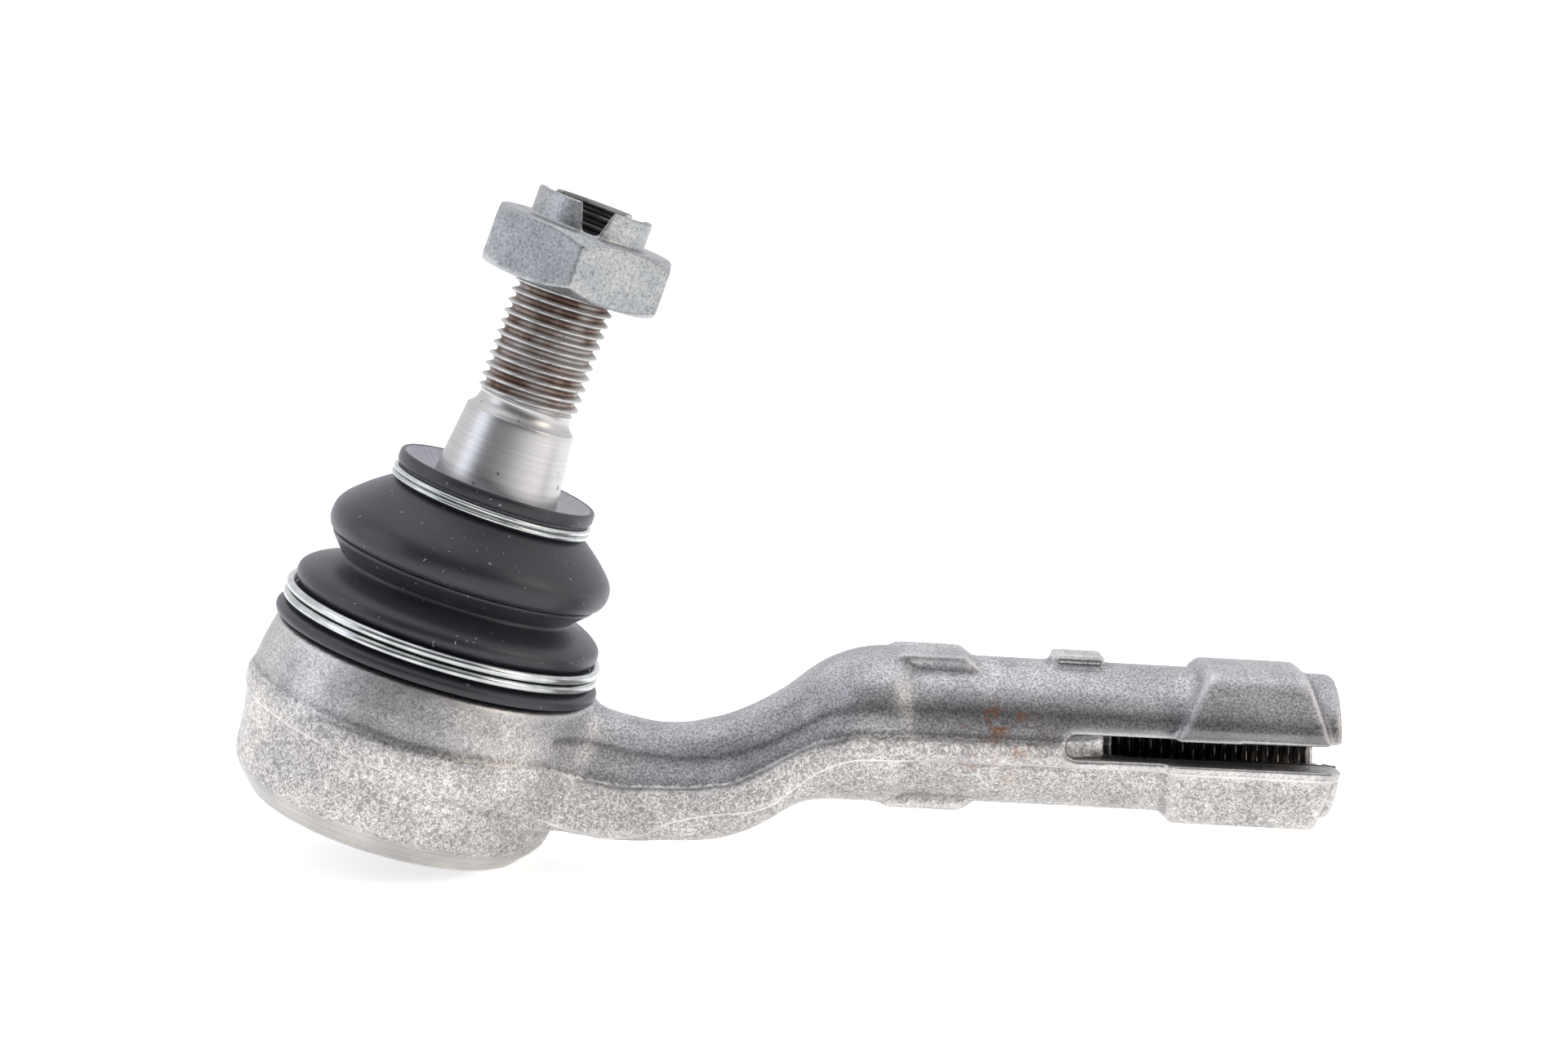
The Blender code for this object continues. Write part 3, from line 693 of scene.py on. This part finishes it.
def refined(profile, longest=0.7, closed=False):
    """The same polyline with points added so that no step is longer than about the given length."""
    profile = np.concatenate([profile, profile[:1]]) if closed else profile
    reach = np.concatenate([[0.0], np.cumsum(np.hypot(*np.diff(profile, axis=0).T))])
    places = []
    for a, b in zip(reach[:-1], reach[1:]):
        if b - a > 1e-6:
            places.append(np.linspace(a, b, max(2, int((b - a) / longest) + 2))[:-1])
    places = np.concatenate(places + ([] if closed else [reach[-1:]]))
    return np.stack([np.interp(places, reach, profile[:, k]) for k in (0, 1)], -1)


def stud_finish():
    """Turned and ground alloy steel, satin, with fine turning lines and a few small dark pits. Brown
    oil has dried in the thread's roots."""
    made, tree, shader = metal("turned_alloy_steel", "#c9c8c6", 0.4)
    coords = node(tree, "TexCoord").outputs["Object"]
    height, distance, _ = about_axis(tree, coords, stud_up)
    marks = turning_marks(tree, height, distance, 3.5)
    satin = [(0.3, "#b3b2b2"), (0.7, "#cbc9c6")]
    bright = node(tree, "ValToRGB", [("stops", satin)], [("Fac", marks)])
    patches = node(tree, "TexNoise", [("Scale", 260.0), ("Detail", 3.0)], [("Vector", coords)])
    browns = [(0.4, "#a29d9a"), (0.52, "#8b7b72"), (0.62, "#68534a")]
    stain = node(tree, "ValToRGB", [("stops", browns)], [("Fac", patches)])
    root = node(tree, "MapRange", [("From Min", 6.75), ("From Max", 6.2)], [("Value", distance)])
    threaded = node(tree, "MapRange", [("From Min", 43.4), ("From Max", 44.2)], [("Value", height)])
    dirty = node(tree, "Math", [("operation", "MULTIPLY")], [(0, root), (1, threaded)])
    oiled = node(tree, "MixRGB", links=[("Fac", dirty), ("Color1", bright), ("Color2", stain)])
    spots = node(tree, "TexNoise", [("Scale", 1300.0), ("Detail", 2.0)], [("Vector", coords)])
    pits = node(tree, "ValToRGB", [("stops", [(0.70, 1.0), (0.76, 0.25)])], [("Fac", spots)])
    pitted = node(tree, "MixRGB", DARKEN, [("Color1", oiled), ("Color2", pits)])
    rough = node(tree, "MapRange", [("To Min", 0.36), ("To Max", 0.5)], [("Value", dirty)])
    bump = node(tree, "Bump", [("Strength", 0.1), ("Distance", 0.00003)], [("Height", marks)])
    feed(tree, shader, [("Base Color", pitted), ("Roughness", rough), ("Normal", bump)])
    return made


BALL_RADIUS, BALL_FOOT, NECK = 13.5, -12.0, 7.0
TIP, THREAD_FOOT, SHANK_ROWS = 66.5, 43.3, 220
STUD_MAJOR, STUD_MINOR = MAJOR - 0.05, 6.1
shank = np.stack([np.full(SHANK_ROWS, STUD_MAJOR), np.linspace(TIP, THREAD_FOOT, SHANK_ROWS)], -1)
# Undercut, taper and neck, from the thread's foot down to the ball.
lower = [(6.95, 43.6), (6.3, 43.1), (6.32, 42.5), (6.45, 42.0), (6.8, 41.4), (7.3, 40.95)]
lower += [(7.5, 40.75), (8.78, 29.4), (8.8, 26.6), (8.2, 24.8), (NECK, 21.0), (NECK, 13.0)]
lower = rounded(lower, 0.5)
ball_angle = np.linspace(asin(NECK / BALL_RADIUS), acos(BALL_FOOT / BALL_RADIUS), 40)
sphere = np.stack([BALL_RADIUS * np.sin(ball_angle), BALL_RADIUS * np.cos(ball_angle)], -1)
profile = np.concatenate([[(0.0, TIP)], shank, refined(lower[1:-1], 0.5), sphere, [(0.0, BALL_FOOT)]])
COLUMNS = 96
turns = profile[:, 1:] / PITCH - np.arange(COLUMNS)[None, :] / COLUMNS
cut = thread_radius(turns, STUD_MAJOR, STUD_MINOR)
run_out = np.clip((profile[:, 1:] - THREAD_FOOT) / 0.35, 0.0, 1.0)
RUN_OUT_RADIUS = 6.35
cut = RUN_OUT_RADIUS + (cut - RUN_OUT_RADIUS) * run_out
tip_cone = 5.7 + (TIP - profile[:, 1:]) * 0.95
threaded_rows = (profile[:, 1] >= THREAD_FOOT) & (profile[:, 0] > 0)
radius = np.where(threaded_rows[:, None], np.minimum(cut, tip_cone), profile[:, :1])
points, faces = around(radius, profile[:, 1:], stud_up, COLUMNS)
stud = piece("turned_ball_stud", points, faces, stud_finish(), "stud", 50)
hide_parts("ball_stud")

# ---------------------------------------------------------------- dust boot
# Black chloroprene rubber, moulded with two convolutions. Its bead sits on the housing under the
# spring wire, and its collar grips the taper under the upper ring.
def rubber_finish():
    """Moulded chloroprene: near black, matt, with a soft bluish bloom, moulding grain and dust specks."""
    made = bpy.data.materials.new("moulded_chloroprene_rubber")
    made.use_nodes = True
    tree = made.node_tree
    shader = tree.nodes["Principled BSDF"]
    shader.inputs["IOR"].default_value = 1.52
    shader.inputs["Sheen Weight"].default_value = 0.2
    shader.inputs["Sheen Roughness"].default_value = 0.4
    shader.inputs["Sheen Tint"].default_value = linear("#b9bdd6")
    coords = node(tree, "TexCoord").outputs["Object"]
    cloud = node(tree, "TexNoise", [("Scale", 120.0), ("Detail", 4.0)], [("Vector", coords)])
    blacks = [(0.3, "#1d1b20"), (0.7, "#28252c")]
    black = node(tree, "ValToRGB", [("stops", blacks)], [("Fac", cloud)])
    dust = node(tree, "TexNoise", [("Scale", 1500.0), ("Detail", 1.0)], [("Vector", coords)])
    specks = node(tree, "ValToRGB", [("stops", [(0.745, 0.0), (0.775, 0.5)])], [("Fac", dust)])
    dusty = node(tree, "MixRGB", [("Color2", "#b9b8b6")], [("Fac", specks), ("Color1", black)])
    # The cup inside the collar is painted pale grey: partly painted light, as if lit from above, and partly dusty
    # release agent, in streaks that run out from the stud.
    _, _, away = about_axis(tree, coords, stud_up)
    rays = node(tree, "TexNoise", [("Scale", 70.0), ("Detail", 3.0)], [("Vector", away)])
    greys = [(0.35, "#a9a6ae"), (0.65, "#cfccd3")]
    cup_lit_and_powdered = node(tree, "ValToRGB", [("stops", greys)], [("Fac", rays)])
    in_cup = node(tree, "Attribute", [("attribute_name", "in_cup")]).outputs["Fac"]
    colour = node(tree, "MixRGB", links=[("Fac", in_cup), ("Color1", dusty), ("Color2", cup_lit_and_powdered)])
    rough = node(tree, "MapRange", [("To Min", 0.34), ("To Max", 0.46)], [("Value", cloud)])
    grain = node(tree, "TexNoise", [("Scale", 2600.0), ("Detail", 2.0)], [("Vector", coords)])
    bump = node(tree, "Bump", [("Strength", 0.2), ("Distance", 0.00005)], [("Height", grain)])
    feed(tree, shader, [("Base Color", colour), ("Roughness", rough), ("Normal", bump)])
    return made


rubber = rubber_finish()
FOLD = 19.3  # height of the line where the boot's two halves meet, under the upper convolution
UPPER_HALF = [(18.9, FOLD), (17.0, FOLD), (17.6, 20.3), (17.8, 21.6), (17.4, 22.6), (15.6, 24.3)]
UPPER_HALF += [(12.4, 26.9), (9.3, 27.2), (9.15, 29.1), (12.0, 30.9), (13.0, 31.95), (13.55, 32.05)]
UPPER_HALF += [(13.8, 31.6), (13.8, 30.5), (13.5, 30.2), (12.9, 30.1), (12.85, 28.3), (13.3, 28.05)]
UPPER_HALF += [(14.2, 27.5), (16.6, 25.7), (18.8, 23.6), (19.5, 22.3), (19.55, 20.6)]
LOWER_HALF = [(18.9, FOLD), (17.3, 17.6), (16.2, 16.5), (17.1, 15.7), (19.6, 14.7), (20.95, 13.7)]
LOWER_HALF += [(21.2, 12.7), (20.9, 11.8), (20.45, 11.55), (20.4, 8.6), (21.7, 8.5), (22.5, 8.0)]
LOWER_HALF += [(22.55, 7.2), (22.1, 6.7), (18.5, 6.65), (18.5, 9.6), (19.6, 10.4), (19.6, 12.3)]
LOWER_HALF += [(18.0, 13.4), (15.6, 15.2), (14.6, 16.5), (15.4, 17.5), (17.0, FOLD)]
LEAN_START, LEAN_RUN = 12.0, 15.0
CUP_RADIUS, CUP_FLOOR = 13.2, 28.9


def moulded_half(name, corners):
    """Half of the boot: its wall's outline turned about the housing's axis, then leant a further
    smooth share of the stud's lean, from none 12 mm above the ball's centre to all at 27 mm."""
    outline = refined(rounded(corners, 1.1, closed=True, steps=7), 0.45, closed=True)
    points, faces = around(outline[:, :1], outline[:, 1:], housing_up, 128, closed=True)
    off = points - ball
    t = np.clip((off @ housing_up - LEAN_START) / LEAN_RUN, 0.0, 1.0)
    whole = atan2(stud_up[0], stud_up[2]) - atan2(housing_up[0], housing_up[2])
    lean = t * t * (3 - 2 * t) * whole
    leant = off.copy()
    leant[:, 0] = off[:, 0] * np.cos(lean) + off[:, 2] * np.sin(lean)
    leant[:, 2] = off[:, 2] * np.cos(lean) - off[:, 0] * np.sin(lean)
    made = piece(name, ball + leant, faces, rubber, crease=60)
    up_stud = leant @ stud_up
    from_stud = np.sqrt(np.maximum((leant**2).sum(1) - up_stud**2, 0.0))
    inside = np.clip((CUP_RADIUS - from_stud) / 0.3, 0.0, 1.0)
    cup = inside * np.clip((up_stud - CUP_FLOOR) / 0.3, 0.0, 1.0)
    shade = made.data.attributes.new("in_cup", "FLOAT", "POINT")
    shade.data.foreach_set("value", cup.astype(np.float32))
    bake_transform(made)
    return made


lower_half = moulded_half("boot_lower_half", LOWER_HALF)
upper_half = moulded_half("boot_upper_half", UPPER_HALF)
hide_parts("dust_boot")
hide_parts("dust_boot")

# ---------------------------------------------------------------- boot rings
# Bright spring steel wire: two turns hold the bead on the housing, and a smaller doubled ring holds
# the collar on the stud.
def wire_finish():
    """Drawn and zinc-brightened spring wire, nearly a mirror, a little clouded."""
    made, tree, shader = metal("bright_drawn_spring_wire", "#bfc2c1", 0.2)
    coords = node(tree, "TexCoord").outputs["Object"]
    cloud = node(tree, "TexNoise", [("Scale", 300.0), ("Detail", 3.0)], [("Vector", coords)])
    brights = [(0.3, "#a9adac"), (0.7, "#cfd1cf")]
    bright = node(tree, "ValToRGB", [("stops", brights)], [("Fac", cloud)])
    rough = node(tree, "MapRange", [("To Min", 0.16), ("To Max", 0.26)], [("Value", cloud)])
    feed(tree, shader, [("Base Color", bright), ("Roughness", rough)])
    return made


# The wire's first turn lies on the bead, then it steps up over 0.3 of a turn on to itself.
bright_wire = wire_finish()
WIRE_ROWS, WIRE_COLUMNS, WIRE_RADIUS, COIL_RADIUS = 380, 16, 0.64, 21.45
turn = np.linspace(0.0, 1.94, WIRE_ROWS)
step = np.clip((turn - 0.82) / 0.3, 0.0, 1.0)
wire_height = 9.5 + 1.4 * step * step * (3 - 2 * step)
angle = radians(70) + tau * turn
SIDEWAYS = np.array([0.0, 1.0, 0.0])
wire_across = np.array([housing_up[2], 0.0, -housing_up[0]])
outward = np.cos(angle)[:, None] * wire_across + np.sin(angle)[:, None] * SIDEWAYS
centre_line = ball + COIL_RADIUS * outward + wire_height[:, None] * housing_up
round_wire = (tau * np.arange(WIRE_COLUMNS) / WIRE_COLUMNS)[None, :, None]
tube = np.cos(round_wire) * outward[:, None] + np.sin(round_wire) * housing_up
tube = centre_line[:, None] + WIRE_RADIUS * tube
number = np.arange(WIRE_ROWS * WIRE_COLUMNS).reshape(WIRE_ROWS, WIRE_COLUMNS)
turned_on = np.roll(number, -1, 1)
faces = np.stack([number[:-1], turned_on[:-1], turned_on[1:], number[1:]], -1).reshape(-1, 4)
faces = faces.tolist() + [number[0][::-1].tolist(), number[-1].tolist()]
lower_wire = piece("lower_spring_wire", tube.reshape(-1, 3), faces, bright_wire, "housing", 60)
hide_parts("boot_ring_lower")

RING_RADIUS, RING_INSIDE = 13.5, 13.02
lobe = np.linspace(pi / 2, -pi / 2, 12)
outline = [(RING_RADIUS + 0.5 * cos(a), middle + 0.42 * sin(a)) for middle in (29.48, 28.68) for a in lobe]
outline = np.array(outline + [(RING_INSIDE, 28.3), (RING_INSIDE, 29.85)])
points, faces = around(outline[:, :1], outline[:, 1:], stud_up, 128, closed=True)
upper_ring = piece("collar_ring", points, faces, bright_wire, "boot_collar", 50)
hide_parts("boot_ring_upper")

# ---------------------------------------------------------------- lock nut
# All-metal lock nut in zinc plated steel: a 24 mm hexagon chamfered at both ends, and a thin threaded
# crown sawn into three leaves that pinch the stud's thread.
def nut_finish():
    """Cold-forged steel with dull zinc plating: pale, faintly blue, finely pocked."""
    made, tree, shader = metal("zinc_plated_forged_steel", "#b5b8ba", 0.42)
    coords = node(tree, "TexCoord").outputs["Object"]
    crystals = [("Scale", 2600.0), ("Detail", 3.0), ("Roughness", 0.6)]
    spangle = node(tree, "TexNoise", crystals, [("Vector", coords)])
    cloud = node(tree, "TexNoise", [("Scale", 220.0), ("Detail", 3.0)], [("Vector", coords)])
    pales = [(0.3, "#7d7f80"), (0.42, "#a1a3a4"), (0.65, "#bdbebb")]
    pale = node(tree, "ValToRGB", [("stops", pales)], [("Fac", spangle)])
    tints = [(0.35, "#e4e6e9"), (0.65, "#ffffff")]
    tint = node(tree, "ValToRGB", [("stops", tints)], [("Fac", cloud)])
    plated = node(tree, "MixRGB", DARKEN, [("Color1", pale), ("Color2", tint)])
    _, distance, _ = about_axis(tree, coords, stud_up)
    root = node(tree, "MapRange", [("From Min", 7.25), ("From Max", 6.7)], [("Value", distance)])
    bore = node(tree, "ValToRGB", [("stops", [(0.3, "#5d5c5c"), (0.7, "#8a8988")])], [("Fac", cloud)])
    zinc = node(tree, "MixRGB", links=[("Fac", root), ("Color1", plated), ("Color2", bore)])
    bump = node(tree, "Bump", [("Strength", 0.35), ("Distance", 0.00005)], [("Height", spangle)])
    feed(tree, shader, [("Base Color", zinc), ("Normal", bump)])
    return made


NUT_LOW, NUT_TOP, CROWN_TOP = 59.3, 67.5, 71.3
NUT_HALF_FLATS, CROWN_RADIUS, LEAVES = 12.0, 7.93, 3
FINE = 0.22
nut_low = np.array([-14.2, -14.2, 58.8])
u = (nut_low[0] + FINE * np.arange(130))[:, None, None]
v = (nut_low[1] + FINE * np.arange(130))[None, :, None]
h = (nut_low[2] + FINE * np.arange(60))[None, None, :]
out = np.hypot(u, v)
NUT_TURN, SLOT_TURN = radians(1.5), radians(4.0)
flats = []
for a in (NUT_TURN, NUT_TURN + tau / 6, NUT_TURN + tau / 3):
    flats.append(np.abs(u * cos(a) + v * sin(a)) - NUT_HALF_FLATS)
nut = common(common(flats[0], flats[1], 0.3), flats[2], 0.3) + 0.0 * h
ends = np.maximum(h - NUT_TOP, NUT_LOW - h)
nut = common(nut, (out - 11.55 + ends * sqrt(3.0)) / 2.0, 0.15)
nut = common(nut, ends + 0.0 * out, 0.15)
crown = common(out - CROWN_RADIUS, h - CROWN_TOP, 0.35)
nut = join(nut, np.maximum(crown, 62.0 - h), 0.5)
for i in range(LEAVES):
    turned_by = SLOT_TURN + tau * i / LEAVES
    sideways = np.abs(u * cos(turned_by) + v * sin(turned_by))
    forwards = u * sin(turned_by) - v * cos(turned_by)
    half_width = 1.05 + (h - NUT_TOP) * 0.31
    gap = common((sideways - half_width) * 0.95, NUT_TOP + 0.15 - h + 0.0 * out, 0.5)
    nut = common(nut, -np.maximum(gap, 3.0 - forwards), 0.12)
turns = h / PITCH - np.arctan2(v, u) / tau
countersink = 7.2 - np.maximum(h - NUT_LOW, 0.0) * 1.2
hole = out - np.maximum(thread_radius(turns, MAJOR + 0.08, MINOR + 0.08), countersink)
hole = np.minimum(hole, out - 6.9 + (CROWN_TOP - h) * 1.2)
nut = np.maximum(nut, -hole)
points, quads = skin(nut, nut_low, FINE)
points = settle(points, nut, nut_low, FINE)
stud_across = np.array([stud_up[2], 0.0, -stud_up[0]])
points = ball + points @ np.stack([stud_across, SIDEWAYS, stud_up])
crowned_nut = piece("crowned_lock_nut", points, quads, nut_finish(), "nut", 55)
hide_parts("lock_nut")

# ---------------------------------------------------------------- closing plate and bearing shell
# A pressed steel plate closes the housing under the rolled rim. Inside, out of sight, the ball turns
# in a moulded acetal shell.
def plate_finish():
    """Pressed mild steel sheet, phosphated: even dark grey with faint drawing rings."""
    made, tree, shader = metal("pressed_phosphated_steel", "#85858a", 0.45)
    coords = node(tree, "TexCoord").outputs["Object"]
    height, distance, _ = about_axis(tree, coords, housing_up)
    marks = turning_marks(tree, height, distance, 1.6)
    rings = [(0.3, "#77777b"), (0.7, "#98989b")]
    rings = node(tree, "ValToRGB", [("stops", rings)], [("Fac", marks)])
    feed(tree, shader, [("Base Color", rings)])
    return made


outline = [(0.0, -15.3), (9.0, -15.3), (11.0, -14.7), (17.2, -14.7), (17.2, -16.4), (11.6, -16.4)]
outline += [(9.4, -17.0), (0.0, -17.0)]
outline = refined(rounded(outline, 0.6), 0.8)
points, faces = around(outline[:, :1], outline[:, 1:], housing_up, 96)
plate = piece("pressed_closing_plate", points, faces, plate_finish(), "housing", 50)
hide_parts("closing_plate")

def acetal_finish():
    """Natural acetal, milky with faint flow marks from moulding."""
    made = bpy.data.materials.new("moulded_acetal")
    made.use_nodes = True
    tree = made.node_tree
    shader = tree.nodes["Principled BSDF"]
    shader.inputs["Roughness"].default_value = 0.4
    shader.inputs["IOR"].default_value = 1.48
    coords = node(tree, "TexCoord").outputs["Object"]
    flow = node(tree, "TexNoise", [("Scale", 90.0), ("Detail", 2.0)], [("Vector", coords)])
    milky = node(tree, "ValToRGB", [("stops", [(0.3, "#dcd9cf"), (0.7, "#efece4")])], [("Fac", flow)])
    feed(tree, shader, [("Base Color", milky)])
    return made


shell_mesh = frame["nodes"]["bearing_shell"].data
shell_mesh.materials.clear()
shell_mesh.materials.append(acetal_finish())
